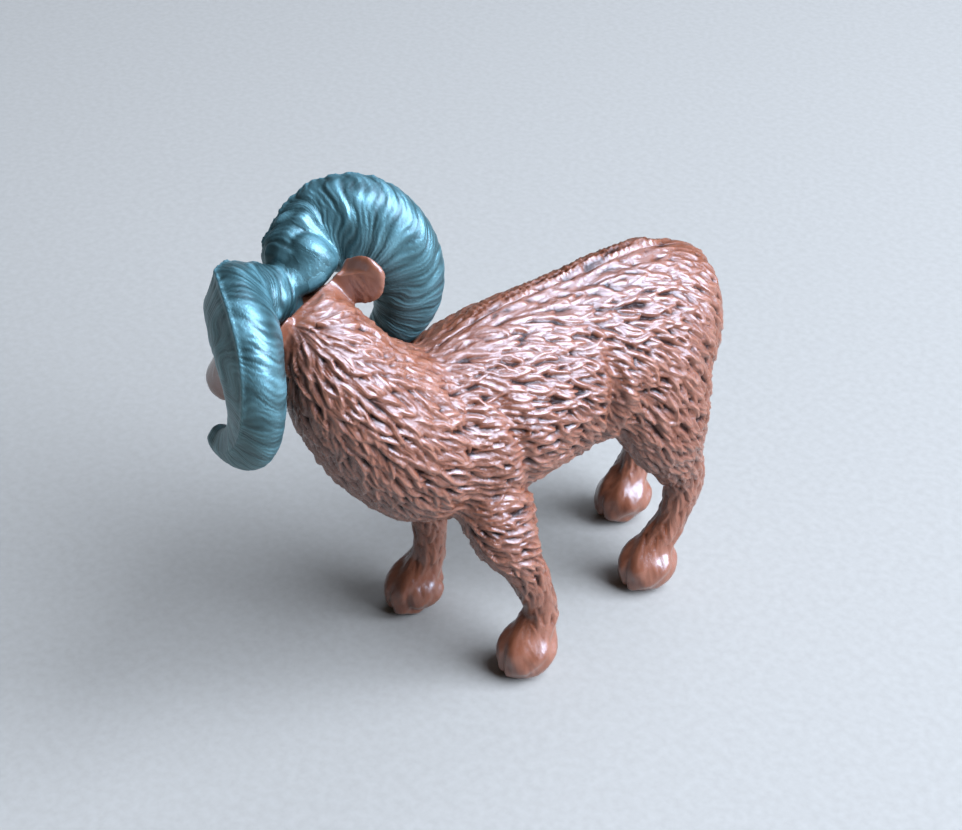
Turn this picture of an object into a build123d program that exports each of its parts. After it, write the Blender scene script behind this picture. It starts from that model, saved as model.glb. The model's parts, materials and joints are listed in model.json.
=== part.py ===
"""Toy ram figurine: two hollow body halves pinned together, and a pair of curled horns plugged into the head.

Millimetres, +Z up, the ram walks towards -Y and its own left is +X. The halves meet on the plane of the spine.
"""

import os
from math import cos, radians, sin

from build123d import *

# Overall sizes
BACK_HEIGHT = 34.0
TRUNK_LENGTH = 34.0
TRUNK_WIDTH = 15.0
TRUNK_DEPTH = 18.8
HEAD_RISE = 5.1
HEAD_REACH = 3.8

# How the head is carried: turned to the ram's right, right ear up, muzzle down
HEAD_TURN = 73.0
HEAD_ROLL = 9.0
HEAD_PITCH = 47.6
HEAD_LENGTH = 17.3
HEAD_WIDTH = 7.0
SKULL_AHEAD = 4.6
SKULL_DROP = 2.7

# Horns: each is a widening spiral in its own plane
HORN_CURL = 5.7
HORN_THICK = 8.6
HORN_BROAD = 5.2
HORN_STEP = 3.9

# Each horn: spread and lean of its plane, its place out, forward and down from the head, first and last angle
RIGHT_HORN = (29.4, -19.0, 4.94, 4.66, 2.09, 50.0, 259.8)
LEFT_HORN = (32.9, -1.9, 4.27, 4.81, 2.08, 48.6, 264.6)

# Horn outline: share of its run, shares of the curl, of the outward step, of the thickness and of the breadth
HORN_SECTIONS = (
    (0.00, 0.50, -0.76, 0.56, 0.93),
    (0.10, 0.57, -0.41, 0.70, 0.94),
    (0.20, 0.65, -0.04, 0.84, 0.95),
    (0.30, 0.77, 0.03, 0.92, 0.97),
    (0.40, 0.89, 0.08, 0.97, 0.99),
    (0.50, 0.99, 0.18, 0.88, 0.91),
    (0.60, 1.06, 0.30, 0.77, 0.82),
    (0.70, 1.12, 0.41, 0.66, 0.74),
    (0.80, 1.18, 0.60, 0.54, 0.64),
    (0.90, 1.24, 0.80, 0.40, 0.52),
    (1.00, 1.29, 0.96, 0.27, 0.42),
)

# How the pieces are moulded and go together
WALL = 1.4
PEG_DIAMETER = 1.8
PEG_LENGTH = 3.0
PEG_CLEARANCE = 0.05
PEG_BOSS_WALL = 1.1
SOCKET_SPARE_DEPTH = 0.3
TENON_DIAMETER = 2.6
TENON_LENGTH = 4.0
HORN_SEAT_CLEARANCE = 0.08

rump_y = TRUNK_LENGTH / 2 - 1.0
breast_y = rump_y - TRUNK_LENGTH
trunk_axis = BACK_HEIGHT - TRUNK_DEPTH / 2
leg_height = BACK_HEIGHT - TRUNK_DEPTH

# Trunk outline: share of the length from breast to rump, lift of the middle, shares of width and depth
TRUNK_SECTIONS = (
    (0.00, -2.2, 0.33, 0.34),
    (0.07, -1.6, 0.70, 0.68),
    (0.18, -0.6, 0.92, 0.89),
    (0.29, 0.4, 0.97, 0.91),
    (0.41, 1.0, 0.97, 0.87),
    (0.56, 1.1, 0.94, 0.85),
    (0.71, 1.0, 0.92, 0.87),
    (0.85, 0.4, 0.87, 0.87),
    (0.95, -0.3, 0.66, 0.72),
    (1.00, -0.6, 0.34, 0.40),
)

# Leg outlines: share of the leg's height, half width, half length
FORE_LEG = (
    (0.00, 1.9, 2.2),
    (0.10, 2.3, 2.7),
    (0.30, 1.7, 1.9),
    (0.43, 1.4, 1.6),
    (0.63, 1.5, 1.7),
    (0.84, 1.8, 2.0),
    (1.07, 2.4, 3.0),
    (1.35, 2.3, 3.2),
    (1.55, 1.2, 2.0),
)
HIND_LEG = (
    (0.00, 1.9, 2.2),
    (0.10, 2.3, 2.7),
    (0.30, 1.7, 1.9),
    (0.45, 1.4, 1.6),
    (0.63, 1.6, 1.8),
    (0.78, 1.8, 2.1),
    (0.95, 2.3, 2.8),
    (1.20, 3.2, 4.1),
    (1.48, 3.1, 4.8),
    (1.75, 2.3, 3.6),
    (1.90, 1.2, 2.0),
)

# Where each leg's middle runs, from the hoof up: out from the spine plane, and back from the breast or the rump
LEFT_FORE = (
    (5.9, 10.2),
    (5.9, 10.2),
    (6.0, 11.2),
    (6.1, 11.6),
    (6.1, 10.7),
    (5.9, 9.4),
    (5.3, 8.1),
    (4.2, 7.5),
    (3.8, 7.4),
)
RIGHT_FORE = (
    (6.8, 7.4),
    (6.8, 7.4),
    (6.5, 8.4),
    (6.2, 8.9),
    (5.9, 8.8),
    (5.6, 8.2),
    (5.2, 7.4),
    (4.2, 7.2),
    (3.8, 7.4),
)
LEFT_HIND = (
    (3.8, -7.9),
    (3.8, -7.8),
    (4.0, -6.8),
    (4.3, -5.6),
    (4.4, -4.6),
    (4.4, -4.7),
    (4.5, -6.0),
    (4.6, -7.5),
    (4.2, -8.2),
    (3.7, -8.4),
    (3.4, -8.4),
)
RIGHT_HIND = (
    (5.1, -3.0),
    (5.1, -2.9),
    (5.1, -2.1),
    (5.0, -1.4),
    (4.9, -1.2),
    (4.8, -1.8),
    (4.7, -3.9),
    (4.6, -6.4),
    (4.2, -8.0),
    (3.7, -8.4),
    (3.4, -8.4),
)

# Neck outline: out to the right, back from the breast, height over the trunk's middle, half sizes, lean
NECK_SECTIONS = (
    (0.0, 7.0, -1.7, 5.4, 6.2, 46.0),
    (0.0, 4.2, 0.0, 6.4, 7.0, 40.0),
    (0.0, 0.8, 3.0, 6.0, 6.4, 36.0),
    (0.2, -2.3, 7.0, 5.0, 5.2, 28.0),
    (1.0, -3.7, 10.2, 4.2, 4.3, 15.0),
)
NECK_TOP_AHEAD = 1.2
NECK_TOP_DROP = 2.3
NECK_TOP_HALVES = (3.5, 3.4)

# Head outline: share of the length from the poll, drop of the middle, shares of the width across and down
HEAD_SECTIONS = (
    (0.00, 0.3, 0.34, 0.30),
    (0.12, 0.1, 0.86, 0.80),
    (0.24, 0.0, 1.00, 0.97),
    (0.42, 0.1, 0.92, 0.92),
    (0.61, 0.4, 0.72, 0.75),
    (0.79, 0.5, 0.60, 0.63),
    (0.93, 0.6, 0.52, 0.54),
    (1.00, 0.7, 0.28, 0.30),
)

# Ear outline: share of the length, half width, half thickness; the right ear is held further back than the left
EAR_LENGTH = 4.6
EAR_SECTIONS = ((0.00, 1.3, 0.8), (0.35, 2.0, 0.7), (0.75, 1.8, 0.55), (1.00, 0.9, 0.4))
RIGHT_EAR_BACK = 2.0
LEFT_EAR_BACK = -0.6

# Tail outline: share of the length, half width, half thickness
TAIL_LENGTH = 5.0
TAIL_SECTIONS = ((0.00, 1.3, 0.9), (0.50, 1.3, 0.8), (1.00, 0.7, 0.5))


head_place = (
    Location((-0.9, breast_y - HEAD_REACH, BACK_HEIGHT + HEAD_RISE))
    * Rotation(0, 0, -HEAD_TURN)
    * Rotation(0, HEAD_ROLL, 0)
)
skull_place = head_place * Location((0, -SKULL_AHEAD, -SKULL_DROP)) * Rotation(HEAD_PITCH, 0, 0)
poll_share = 0.18


def placed(place, origin, x_dir, z_dir):
    """A plane given in the frame of a place."""
    return Plane(place * Plane(origin=origin, x_dir=x_dir, z_dir=z_dir).location)


def through_ellipses(sections):
    """One closed solid through (plane, half width, half height) ellipses."""
    with BuildPart() as skin:
        for plane, half_width, half_height in sections:
            with BuildSketch(plane):
                Ellipse(half_width, half_height)
        loft()
    return skin.part


def trunk_shape(inset):
    """The trunk, or with an inset the hollow inside it."""
    sections = []
    for share, lift, wide, deep in TRUNK_SECTIONS:
        plane = Plane(origin=(0, breast_y + share * TRUNK_LENGTH, trunk_axis + lift), x_dir=(1, 0, 0), z_dir=(0, 1, 0))
        half_width = wide * TRUNK_WIDTH / 2 - inset
        half_depth = deep * TRUNK_DEPTH / 2 - inset
        if inset == 0 or wide > 0.9:
            sections.append((plane, half_width, half_depth))
    return through_ellipses(sections)


def leg_shape(profile, route, side, start_y):
    """One leg, its sections level with the ground."""
    sections = []
    for (share, half_width, half_length), (out, back) in zip(profile, route):
        plane = Plane(origin=(side * out, start_y + back, share * leg_height))
        sections.append((plane, half_width, half_length))
    return through_ellipses(sections)


def neck_shape():
    """The neck, from the shoulders up to the back of the head."""
    sections = []
    for aside, back, rise, half_width, half_depth, lean in NECK_SECTIONS:
        upward = (0, -sin(radians(lean)), cos(radians(lean)))
        plane = Plane(origin=(-aside, breast_y + back, trunk_axis + rise), x_dir=(1, 0, 0), z_dir=upward)
        sections.append((plane, half_width, half_depth))
    sections.append((Plane(head_place * Location((0, -NECK_TOP_AHEAD, -NECK_TOP_DROP))), *NECK_TOP_HALVES))
    return through_ellipses(sections)


def head_shape():
    """The skull and muzzle, from the poll forward."""
    sections = []
    for share, drop, wide, deep in HEAD_SECTIONS:
        middle = (0, -(share - poll_share) * HEAD_LENGTH, -drop)
        plane = placed(skull_place, middle, (1, 0, 0), (0, -1, 0))
        sections.append((plane, wide * HEAD_WIDTH / 2, deep * HEAD_WIDTH / 2))
    return through_ellipses(sections)


def ear_shape(side):
    """One leaf-shaped ear, held out under its horn."""
    back = RIGHT_EAR_BACK if side < 0 else LEFT_EAR_BACK
    outward = Vector(side * 3.6, back, -2.2).normalized()
    root = Vector(side * HEAD_WIDTH * 0.40, -1.7, 0.2)
    sections = []
    for share, half_width, half_thick in EAR_SECTIONS:
        plane = placed(head_place, root + outward * (share * EAR_LENGTH), (0, 0, 1), outward)
        sections.append((plane, half_width, half_thick))
    return through_ellipses(sections)


def tail_shape():
    """The short tail lying on the rump."""
    sections = []
    for share, half_width, half_thick in TAIL_SECTIONS:
        middle = (0, rump_y - 1.2 + 0.9 * share, BACK_HEIGHT - 5.0 - share * TAIL_LENGTH)
        plane = Plane(origin=middle, x_dir=(1, 0, 0), z_dir=(0, 0.2, -1))
        sections.append((plane, half_width, half_thick))
    return through_ellipses(sections)


def horn_shape(horn, clearance=0.0):
    """One horn, as for the right side: an oval section carried round a spiral that steps outward to its tip."""
    spread, lean, out, forward, drop, first_angle, last_angle = horn
    spread = radians(spread)
    lean = radians(lean)
    ahead = (sin(spread), -cos(spread), 0)
    outward = (-cos(spread) * cos(lean), -sin(spread) * cos(lean), sin(lean))
    spiral = Location(placed(head_place, (-out, -forward, -drop), ahead, outward))
    centres = []
    for share, curl, step, thick, broad in HORN_SECTIONS:
        angle = radians(first_angle + (last_angle - first_angle) * share)
        radius = curl * HORN_CURL
        centres.append(Vector(radius * cos(angle), radius * sin(angle), step * HORN_STEP))
    sections = []
    last = len(centres) - 1
    for i, (share, curl, step, thick, broad) in enumerate(HORN_SECTIONS):
        centre = centres[i]
        along = centres[min(i + 1, last)] - centres[max(i - 1, 0)]
        plane = placed(spiral, centre, Vector(centre.X, centre.Y, 0), along)
        half_thick = thick * HORN_THICK / 2 + clearance
        half_broad = broad * HORN_BROAD / 2 + clearance
        sections.append((plane, half_thick, half_broad))
    return through_ellipses(sections)


def horns_shape(clearance=0.0):
    """Both horns, the bridge across the forehead and the tenon that enters the skull."""
    head_middle = placed(head_place, (0, 0, 0), (0, 1, 0), (1, 0, 0))
    root = (-0.6, -SKULL_AHEAD - 0.1, 1.0)
    with BuildPart() as left:
        add(horn_shape(LEFT_HORN, clearance))
        mirror(about=head_middle, mode=Mode.REPLACE)
    with BuildPart() as pair:
        with BuildSketch(placed(head_place, root, (1, 0, 0), (0.15, 0, -1))):
            Circle(TENON_DIAMETER / 2 + clearance)
        extrude(amount=TENON_LENGTH + clearance)
        with Locations(head_place * Location(root)):
            Sphere(HORN_BROAD / 2 - 0.4 + clearance)
        add(horn_shape(RIGHT_HORN, clearance))
        add(left.part)
    return pair.part


# Peg places on the spine plane: back along the body and up
PEG_PLACES = (
    (breast_y + 8.0, trunk_axis + 2.0),
    (rump_y - 7.0, trunk_axis + 2.0),
    (breast_y + 0.6, trunk_axis + 3.5),
)
boss_radius = PEG_DIAMETER / 2 + PEG_CLEARANCE + PEG_BOSS_WALL

# The hollow between the halves, with the peg bosses left standing across it
trunk_hollow = trunk_shape(WALL)
with BuildPart() as hollow:
    add(trunk_hollow)
    with BuildSketch(Plane.YZ):
        with Locations(*PEG_PLACES):
            Circle(boss_radius)
    extrude(amount=TRUNK_WIDTH, both=True, mode=Mode.SUBTRACT)

# The whole moulded body before it is parted
body_shapes = [
    trunk_shape(0),
    neck_shape(),
    head_shape(),
    ear_shape(1),
    ear_shape(-1),
    tail_shape(),
    leg_shape(FORE_LEG, LEFT_FORE, 1, breast_y),
    leg_shape(FORE_LEG, RIGHT_FORE, -1, breast_y),
    leg_shape(HIND_LEG, LEFT_HIND, 1, rump_y),
    leg_shape(HIND_LEG, RIGHT_HIND, -1, rump_y),
]
horn_seat = horns_shape(HORN_SEAT_CLEARANCE)
with BuildPart() as body:
    for shape in body_shapes:
        add(shape)
    add(hollow.part, mode=Mode.SUBTRACT)
    add(horn_seat, mode=Mode.SUBTRACT)

# Left half, with the pegs
with BuildPart() as body_left_half:
    add(body.part)
    split(bisect_by=Plane.YZ, keep=Keep.TOP)
    with BuildSketch(Plane.YZ):
        with Locations(*PEG_PLACES):
            Circle(PEG_DIAMETER / 2)
    extrude(amount=-PEG_LENGTH)

# Right half, with the sockets
with BuildPart() as body_right_half:
    add(body.part)
    split(bisect_by=Plane.YZ, keep=Keep.BOTTOM)
    with BuildSketch(Plane.YZ):
        with Locations(*PEG_PLACES):
            Circle(PEG_DIAMETER / 2 + PEG_CLEARANCE)
    extrude(amount=-(PEG_LENGTH + SOCKET_SPARE_DEPTH), mode=Mode.SUBTRACT)

# Horn pair, one moulding
horns = horns_shape()
with BuildPart() as horn_pair:
    add(horns)

# The figure stands on the ground with its origin under the middle of its outline
pieces = {"body_left_half": body_left_half.part, "body_right_half": body_right_half.part, "horn_pair": horn_pair.part}
outline = Compound(children=[piece.moved(Location()) for piece in pieces.values()]).bounding_box()
stand = Location((-outline.center().X, -outline.center().Y, -outline.min.Z))
os.makedirs("parts", exist_ok=True)
for name, piece in pieces.items():
    standing = piece.moved(stand)
    standing.label = name
    export_step(standing, f"parts/{name}.step")
    print(name, "volume", round(standing.volume, 1))
print("size", outline.size, "spine plane at x", round(stand.position.X, 3), "shift y", round(stand.position.Y, 3))
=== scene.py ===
"""Looks of the toy ram figurine: sculpted fleece on two body halves, and a pair of curled horns.

Shapes are worked out in millimetres in the design frame, whose X = 0 is the plane of the spine and whose Z = 0 is the
ground. The ram walks towards -Y and its own left is +X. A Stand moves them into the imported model's frame, in metres.
"""

from __future__ import annotations

import json
import logging
import math
from dataclasses import dataclass, field
from enum import Enum

import bmesh
import bpy
import numpy as np
from mathutils import Matrix, Vector, kdtree

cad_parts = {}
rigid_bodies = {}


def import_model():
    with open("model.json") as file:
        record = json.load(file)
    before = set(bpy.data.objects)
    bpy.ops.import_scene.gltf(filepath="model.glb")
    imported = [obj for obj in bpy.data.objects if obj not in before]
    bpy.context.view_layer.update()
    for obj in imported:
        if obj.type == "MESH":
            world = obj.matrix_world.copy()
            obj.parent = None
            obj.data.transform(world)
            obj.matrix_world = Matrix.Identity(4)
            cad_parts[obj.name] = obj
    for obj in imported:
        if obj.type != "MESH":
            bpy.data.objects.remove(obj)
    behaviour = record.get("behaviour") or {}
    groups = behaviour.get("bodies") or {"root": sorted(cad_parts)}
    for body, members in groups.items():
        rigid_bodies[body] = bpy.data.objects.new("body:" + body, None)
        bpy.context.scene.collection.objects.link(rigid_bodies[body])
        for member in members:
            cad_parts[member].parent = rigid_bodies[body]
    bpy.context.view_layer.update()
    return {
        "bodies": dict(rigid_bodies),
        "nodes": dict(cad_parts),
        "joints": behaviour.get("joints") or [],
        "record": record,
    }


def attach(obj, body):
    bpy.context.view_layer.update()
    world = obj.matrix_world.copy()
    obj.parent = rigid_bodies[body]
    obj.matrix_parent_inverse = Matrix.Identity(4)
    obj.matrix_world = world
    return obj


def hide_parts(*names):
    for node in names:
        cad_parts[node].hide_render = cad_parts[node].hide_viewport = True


LOG = logging.getLogger("ram")
MM = 0.001
SEED = 20


class Side(Enum):
    """A side of the ram, as the sign of its X."""

    LEFT = 1
    RIGHT = -1


# ---------------------------------------------------------------- meshes


@dataclass(frozen=True)
class Ring:
    """One oval section of a limb.

    Attributes:
        middle: Its centre, in design millimetres.
        half_width: Half its size across.
        half_depth: Half its size square to that.
        roof: How much its top narrows to a ridge, from 0 to 1.
    """

    middle: tuple[float, float, float]
    half_width: float
    half_depth: float
    roof: float = 0.0


@dataclass
class Shell:
    """A closed mesh as arrays.

    Attributes:
        points: N by 3 places.
        faces: Vertex numbers of each face.
    """

    points: np.ndarray
    faces: list[tuple[int, ...]]

    def moved(self, place: Matrix) -> Shell:
        """The same shell put in another frame.

        Args:
            place: The frame's matrix, in millimetres.

        Returns:
            A new shell.
        """
        turn = np.array(place.to_3x3())
        return Shell(self.points @ turn.T + np.array(place.translation), self.faces)


def smooth_path(values: np.ndarray, between: int) -> np.ndarray:
    """Catmull-Rom interpolation of rows, with the given rows kept.

    Args:
        values: One row for each given station.
        between: Steps from one station to the next.

    Returns:
        The interpolated rows.
    """
    padded = np.vstack([2 * values[0] - values[1], values, 2 * values[-1] - values[-2]])
    rows = []
    for i in range(1, len(padded) - 2):
        a, b, c, d = padded[i - 1 : i + 3]
        for t in np.arange(between) / between:
            rows.append(
                0.5 * (2 * b + (c - a) * t + (2 * a - 5 * b + 4 * c - d) * t * t + (3 * b - 3 * c + d - a) * t**3)
            )
    rows.append(values[-1])
    return np.array(rows)


def tube(rings: np.ndarray) -> Shell:
    """A closed mesh through rings of points, each end closed by a fan.

    Args:
        rings: Stations by points around by 3.

    Returns:
        The shell.
    """
    count, around = rings.shape[:2]
    points = np.vstack([rings.reshape(-1, 3), rings[0].mean(0), rings[-1].mean(0)])
    first, last = count * around, count * around + 1
    faces: list[tuple[int, ...]] = []
    for j in range(around):
        k = (j + 1) % around
        for i in range(count - 1):
            faces.append((i * around + j, i * around + k, (i + 1) * around + k, (i + 1) * around + j))
        faces.append((first, k, j))
        faces.append((last, (count - 1) * around + j, (count - 1) * around + k))
    return Shell(points, faces)


def limb(rings: list[Ring], across: tuple[float, float, float] = (1, 0, 0), blunt: float = 0.7) -> Shell:
    """A rounded limb through oval sections, its ends domed.

    Args:
        rings: The sections in order.
        across: The direction of each section's width.
        blunt: How far each end's dome stands out, as a share of its smaller half size.

    Returns:
        The shell.
    """
    given = np.array([(*r.middle, r.half_width, r.half_depth, r.roof) for r in rings], float)
    rows = smooth_path(given, 6)
    along = np.gradient(rows[:, :3], axis=0)
    along /= np.linalg.norm(along, axis=1, keepdims=True)
    width = np.array(across, float) - along * (along @ np.array(across, float))[:, None]
    width /= np.linalg.norm(width, axis=1, keepdims=True)
    depth = np.cross(width, along)
    angle = np.linspace(0, 2 * np.pi, 56, endpoint=False)
    sections = []

    def section(i: int, shift: float, scale: float) -> None:
        """Adds one row's oval.

        Args:
            i: Which row.
            shift: How far it moves along the limb.
            scale: Its size against the row's own.
        """
        half_width, half_depth, roof = rows[i, 3:]
        narrow = 1 - roof * np.clip(np.sin(angle), 0, 1) ** 1.5
        centre = rows[i, :3] + along[i] * shift
        ring = np.outer(np.cos(angle) * narrow * half_width * scale, width[i])
        ring += np.outer(np.sin(angle) * half_depth * scale, depth[i])
        sections.append(centre + ring)

    dome = np.radians([78, 60, 42, 22])
    reach = blunt * min(rows[0, 3:5])
    for a in dome:
        section(0, -reach * math.sin(a), math.cos(a))
    for i in range(len(rows)):
        section(i, 0.0, 1.0)
    reach = blunt * min(rows[-1, 3:5])
    for a in dome[::-1]:
        section(len(rows) - 1, reach * math.sin(a), math.cos(a))
    return tube(np.array(sections))


def egg(middle: tuple[float, float, float], half: tuple[float, float, float]) -> Shell:
    """An ellipsoid, for brows, cheeks and eyes.

    Args:
        middle: Its centre.
        half: Its half sizes along X, Y and Z.

    Returns:
        The shell.
    """
    tilt = np.linspace(0.12, np.pi - 0.12, 18)
    turn = np.linspace(0, 2 * np.pi, 28, endpoint=False)
    rings = [
        np.stack([np.sin(t) * np.cos(turn), np.sin(t) * np.sin(turn), np.full_like(turn, -np.cos(t))], 1) for t in tilt
    ]
    return tube(np.array(rings) * np.array(half) + np.array(middle))


@dataclass
class Skin:
    """A dense quad surface whose points are moved by code, as a sculptor moves clay.

    Attributes:
        points: N by 3 places.
        quads: M by 4 vertex numbers.
    """

    points: np.ndarray
    quads: np.ndarray

    @classmethod
    def around(cls, shells: list[Shell], voxel: float) -> Skin:
        """One surface round overlapping shells.

        Args:
            shells: Closed shells, which may overlap.
            voxel: The grid size, in the shells' own unit.

        Returns:
            The fused surface.
        """
        mesh = bpy.data.meshes.new("fusing")
        points = np.vstack([s.points for s in shells])
        faces: list[tuple[int, ...]] = []
        start = 0
        for shell in shells:
            faces.extend(tuple(start + v for v in face) for face in shell.faces)
            start += len(shell.points)
        mesh.from_pydata(points.tolist(), [], faces)
        holder = bpy.data.objects.new("fusing", mesh)
        bpy.context.scene.collection.objects.link(holder)
        remesh = holder.modifiers.new("fuse", "REMESH")
        remesh.mode = "VOXEL"
        remesh.voxel_size = voxel
        ready = holder.evaluated_get(bpy.context.evaluated_depsgraph_get()).to_mesh()
        found = np.zeros(len(ready.vertices) * 3)
        ready.vertices.foreach_get("co", found)
        corners = np.zeros(len(ready.loops), np.int32)
        ready.loops.foreach_get("vertex_index", corners)
        skin = cls(found.reshape(-1, 3), corners.reshape(-1, 4).copy())
        bpy.data.objects.remove(holder)
        bpy.data.meshes.remove(mesh)
        return skin

    def edges(self) -> np.ndarray:
        """Each pair of neighbouring vertices once."""
        pairs = np.vstack([self.quads[:, [i, (i + 1) % 4]] for i in range(4)])
        return np.unique(np.sort(pairs, axis=1), axis=0)

    def smoothed(self, rounds: int, share: np.ndarray | float = 1.0) -> Skin:
        """Relaxes the surface, with a push back out so that thin limbs keep their size.

        Args:
            rounds: How many times to relax.
            share: How much each point takes part, from 0 to 1.

        Returns:
            This skin.
        """
        pairs = self.edges()
        ends = np.concatenate([pairs[:, 0], pairs[:, 1]])
        others = np.concatenate([pairs[:, 1], pairs[:, 0]])
        count = np.bincount(ends, minlength=len(self.points))[:, None]
        weight = np.broadcast_to(np.asarray(share, float).reshape(-1, 1), (len(self.points), 1))
        for step in range(2 * rounds):
            pull = 0.55 if step % 2 == 0 else -0.5
            total = np.stack(
                [np.bincount(ends, self.points[others, i], minlength=len(self.points)) for i in range(3)], axis=1
            )
            self.points = self.points + pull * weight * (total / count - self.points)
        return self

    def normals(self) -> np.ndarray:
        """Unit normals at the points.

        Returns:
            N by 3 directions.
        """
        p = self.points[self.quads]
        face = np.cross(p[:, 2] - p[:, 0], p[:, 3] - p[:, 1])
        total = np.zeros_like(self.points)
        for i in range(4):
            for axis in range(3):
                total[:, axis] += np.bincount(self.quads[:, i], face[:, axis], minlength=len(self.points))
        return total / np.maximum(np.linalg.norm(total, axis=1, keepdims=True), 1e-12)

    def shell(self) -> Shell:
        """The same surface as a shell."""
        return Shell(self.points, [tuple(q) for q in self.quads.tolist()])


def step(value: np.ndarray, low: float, high: float) -> np.ndarray:
    """Smooth step from 0 at low to 1 at high.

    Args:
        value: Where to read it.
        low: Where it leaves 0.
        high: Where it reaches 1.

    Returns:
        The step, from 0 to 1.
    """
    t = np.clip((value - low) / (high - low), 0, 1)
    return t * t * (3 - 2 * t)


def hump(points: np.ndarray, middle: tuple[float, float, float], size: tuple[float, float, float]) -> np.ndarray:
    """A round bump that is 1 at its middle and fades over its size.

    Args:
        points: Where to read it.
        middle: The bump's centre.
        size: Its reach along X, Y and Z.

    Returns:
        The bump's height, from 0 to 1.
    """
    away = (points - np.array(middle)) / np.array(size)
    return np.exp(-(away**2).sum(1))


# ---------------------------------------------------------------- places


@dataclass
class Stand:
    """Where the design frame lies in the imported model.

    Attributes:
        hoof: The left fore hoof's place in the design frame, in millimetres.
    """

    frame: dict
    hoof: tuple[float, float] = (5.9, -7.8)

    def offset(self) -> np.ndarray:
        """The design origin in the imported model.

        Returns:
            Its place, in metres.
        """
        soles = {m["name"]: m["pos_m"] for m in self.frame["record"]["mounts"]}
        sole = soles["left_fore_sole"]
        return np.array([sole[0] - self.hoof[0] * MM, sole[1] - self.hoof[1] * MM, 0.0])

    def piece(
        self, name: str, points: np.ndarray, faces: np.ndarray | list, marks: dict[str, np.ndarray]
    ) -> bpy.types.Object:
        """Makes a Blender object from design-frame points.

        Args:
            name: The object's name.
            points: Its points, in millimetres.
            faces: Its faces.
            marks: Values to keep on its points, by attribute name.

        Returns:
            The object, linked to the scene and shaded smooth.
        """
        mesh = bpy.data.meshes.new(name)
        mesh.from_pydata((points * MM + self.offset()).tolist(), [], [tuple(f) for f in np.asarray(faces).tolist()])
        mesh.polygons.foreach_set("use_smooth", np.ones(len(mesh.polygons), bool))
        for key, values in marks.items():
            layer = mesh.attributes.new(key, "FLOAT", "POINT")
            layer.data.foreach_set("value", values.astype(np.float32))
        mesh.update()
        made = bpy.data.objects.new(name, mesh)
        bpy.context.scene.collection.objects.link(made)
        return made


@dataclass(frozen=True)
class HeadPose:
    """How the head is carried, in degrees and design millimetres."""

    middle: tuple[float, float, float] = (-0.9, -21.8, 39.1)
    turn: float = 73.0
    roll: float = 9.0
    pitch: float = 47.6
    skull_ahead: float = 4.6
    skull_drop: float = 2.7

    def level(self) -> Matrix:
        """The head's frame before it looks down: X to its left, -Y forward, Z up.

        Returns:
            The frame, from the head's to the design's.
        """
        turned = Matrix.Rotation(math.radians(-self.turn), 4, "Z")
        rolled = Matrix.Rotation(math.radians(self.roll), 4, "Y")
        return Matrix.Translation(self.middle) @ turned @ rolled

    def skull(self) -> Matrix:
        """The head's frame as it looks down."""
        moved = Matrix.Translation((0, -self.skull_ahead, -self.skull_drop))
        return self.level() @ moved @ Matrix.Rotation(math.radians(self.pitch), 4, "X")

    def local(self, points: np.ndarray, skull: bool = True) -> np.ndarray:
        """Design points in the head's frame.

        Args:
            points: The points.
            skull: True for the pitched frame, False for the level one.

        Returns:
            The same points in that frame.
        """
        back = (self.skull() if skull else self.level()).inverted()
        return points @ np.array(back.to_3x3()).T + np.array(back.translation)


# ---------------------------------------------------------------- finishes


def linear(code: str) -> tuple[float, float, float, float]:
    """An sRGB hex colour as linear RGBA.

    Args:
        code: Six hex digits.

    Returns:
        The colour for a shader socket.
    """
    parts = [int(code[i : i + 2], 16) / 255 for i in (0, 2, 4)]
    red, green, blue = (p / 12.92 if p <= 0.04045 else ((p + 0.055) / 1.055) ** 2.4 for p in parts)
    return red, green, blue, 1.0


def node(tree: bpy.types.NodeTree, kind: str, settings: dict | None = None, **inputs: object) -> bpy.types.Node:
    """Adds a shader node with its settings and links.

    Args:
        tree: The node tree.
        kind: The node's type name, without ShaderNode.
        settings: Node properties by name.
        **inputs: Socket values or sockets to link, by name with _ for a space, or i0, i1 ... by number.

    Returns:
        The node.
    """
    made = tree.nodes.new("ShaderNode" + kind)
    for key, value in (settings or {}).items():
        setattr(made, key, value)
    for key, value in inputs.items():
        by_number = key[0] == "i" and key[1:].isdigit()
        socket = made.inputs[int(key[1:])] if by_number else made.inputs[key.replace("_", " ")]
        if isinstance(value, bpy.types.NodeSocket):
            tree.links.new(value, socket)
        else:
            socket.default_value = value
    return made


def ramp(
    tree: bpy.types.NodeTree, factor: bpy.types.NodeSocket, stops: list[tuple[float, str]]
) -> bpy.types.NodeSocket:
    """Adds a colour ramp of sRGB hex stops.

    Args:
        tree: The node tree.
        factor: The socket that drives it.
        stops: Place and colour of each stop.

    Returns:
        Its colour socket.
    """
    made = node(tree, "ValToRGB", Fac=factor)
    band = made.color_ramp
    while len(band.elements) < len(stops):
        band.elements.new(0.5)
    for element, (place, code) in zip(band.elements, stops):
        element.position = place
        element.color = linear(code)
    return made.outputs["Color"]


@dataclass(frozen=True)
class EyePaint:
    """Black pad-printed lacquer: a thin wet-looking film, so it is smoother than the plastic around it."""

    colour: str = "0C0908"
    edge: str = "1E1612"

    def shader(self, tree: bpy.types.NodeTree, place: bpy.types.NodeSocket) -> bpy.types.NodeSocket:
        """Adds the lacquer's shader.

        Args:
            tree: The node tree.
            place: The socket of the surface's places.

        Returns:
            Its surface socket.
        """
        speck = node(tree, "TexNoise", Vector=place, Scale=1 / (0.3 * MM), Detail=2.0).outputs["Fac"]
        colour = ramp(tree, speck, [(0.35, self.colour), (0.8, self.edge)])
        bump = node(tree, "Bump", Height=speck, Strength=0.1, Distance=0.02 * MM)
        return node(tree, "BsdfPrincipled", Base_Color=colour, Roughness=0.16, Normal=bump.outputs[0]).outputs[0]


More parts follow.
